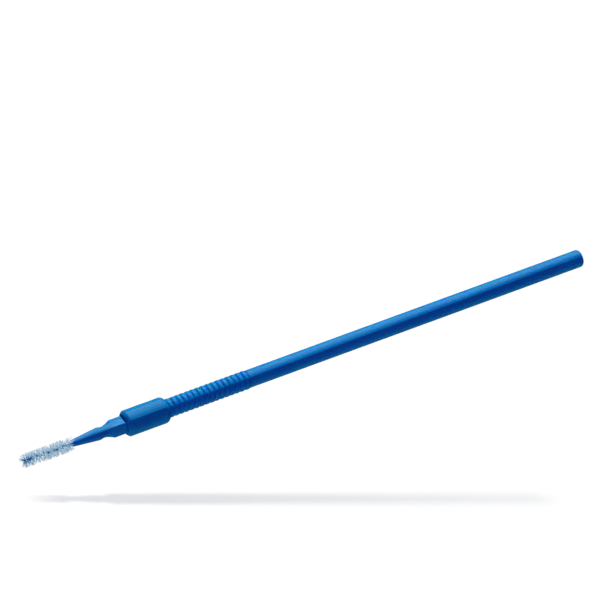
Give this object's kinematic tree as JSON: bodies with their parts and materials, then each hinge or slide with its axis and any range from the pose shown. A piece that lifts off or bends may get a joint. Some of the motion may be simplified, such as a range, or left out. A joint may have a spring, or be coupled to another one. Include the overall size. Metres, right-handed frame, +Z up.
{
  "type": "interdental brush",
  "caption": "Interdental brush: a twisted-wire brush insert held in a slim round handle with a ringed grip and a sliding lock sleeve.",
  "frame": {"origin": "centre of the flat butt face at the rear end of the handle", "axes": "+X along the handle from the butt to the brush tip, +Y and +Z across it and square to the flats of the insert's square block, +Z up"},
  "size_m": [0.1412, 0.006, 0.006],
  "materials": {
    "handle_plastic": "satin moulded polypropylene, saturated mid blue",
    "sleeve_plastic": "satin moulded polypropylene, saturated mid blue",
    "stem_plastic": "satin moulded polypropylene, saturated mid blue",
    "wire": "thin blue plastic coating on drawn steel wire",
    "filaments": "translucent pale blue-white nylon filament"
  },
  "bodies": {
    "handle": {"handle": "handle_plastic"},
    "lock_sleeve": {"lock_sleeve": "sleeve_plastic"},
    "brush_stem": {"brush_stem": "stem_plastic", "wire_root": "wire"},
    "wire_1": {"wire_1": "wire", "tuft_1": "filaments"},
    "wire_2": {"wire_2": "wire", "tuft_2": "filaments"},
    "wire_3": {"wire_3": "wire", "tuft_3": "filaments"},
    "wire_4": {"wire_4": "wire", "tuft_4": "filaments"},
    "wire_5": {"wire_5": "wire", "tuft_5": "filaments"},
    "wire_6": {"wire_6": "wire", "tuft_6": "filaments"},
    "wire_7": {"wire_7": "wire", "tuft_7": "filaments"},
    "wire_8": {"wire_8": "wire", "tuft_8": "filaments"}
  },
  "joints": [
    {"name": "insert_pull", "type": "slide", "parent": "handle", "child": "brush_stem", "axis": [1, 0, 0], "range_m": [0, 0.009]},
    {"name": "sleeve_slide", "type": "slide", "parent": "handle", "child": "lock_sleeve", "axis": [-1, 0, 0], "range_m": [0, 0.005]},
    {"name": "wire_bend_1", "type": "hinge", "parent": "brush_stem", "child": "wire_1", "pos_m": [0.12925, 0, 0], "axis": [0, 1, 0], "range_deg": [-12, 12]},
    {"name": "wire_bend_2", "type": "hinge", "parent": "wire_1", "child": "wire_2", "pos_m": [0.13074, 0, 0], "axis": [0, 0, 1], "range_deg": [-12, 12]},
    {"name": "wire_bend_3", "type": "hinge", "parent": "wire_2", "child": "wire_3", "pos_m": [0.13223, 0, 0], "axis": [0, 1, 0], "range_deg": [-12, 12]},
    {"name": "wire_bend_4", "type": "hinge", "parent": "wire_3", "child": "wire_4", "pos_m": [0.13371, 0, 0], "axis": [0, 0, 1], "range_deg": [-12, 12]},
    {"name": "wire_bend_5", "type": "hinge", "parent": "wire_4", "child": "wire_5", "pos_m": [0.1352, 0, 0], "axis": [0, 1, 0], "range_deg": [-12, 12]},
    {"name": "wire_bend_6", "type": "hinge", "parent": "wire_5", "child": "wire_6", "pos_m": [0.13669, 0, 0], "axis": [0, 0, 1], "range_deg": [-12, 12]},
    {"name": "wire_bend_7", "type": "hinge", "parent": "wire_6", "child": "wire_7", "pos_m": [0.13817, 0, 0], "axis": [0, 1, 0], "range_deg": [-12, 12]},
    {"name": "wire_bend_8", "type": "hinge", "parent": "wire_7", "child": "wire_8", "pos_m": [0.13966, 0, 0], "axis": [0, 0, 1], "range_deg": [-12, 12]}
  ],
  "couplings": [
    {"joint": "wire_bend_3", "follows": "wire_bend_1", "ratio": 1},
    {"joint": "wire_bend_4", "follows": "wire_bend_2", "ratio": 1},
    {"joint": "wire_bend_5", "follows": "wire_bend_1", "ratio": 1},
    {"joint": "wire_bend_6", "follows": "wire_bend_2", "ratio": 1},
    {"joint": "wire_bend_7", "follows": "wire_bend_1", "ratio": 1},
    {"joint": "wire_bend_8", "follows": "wire_bend_2", "ratio": 1}
  ]
}
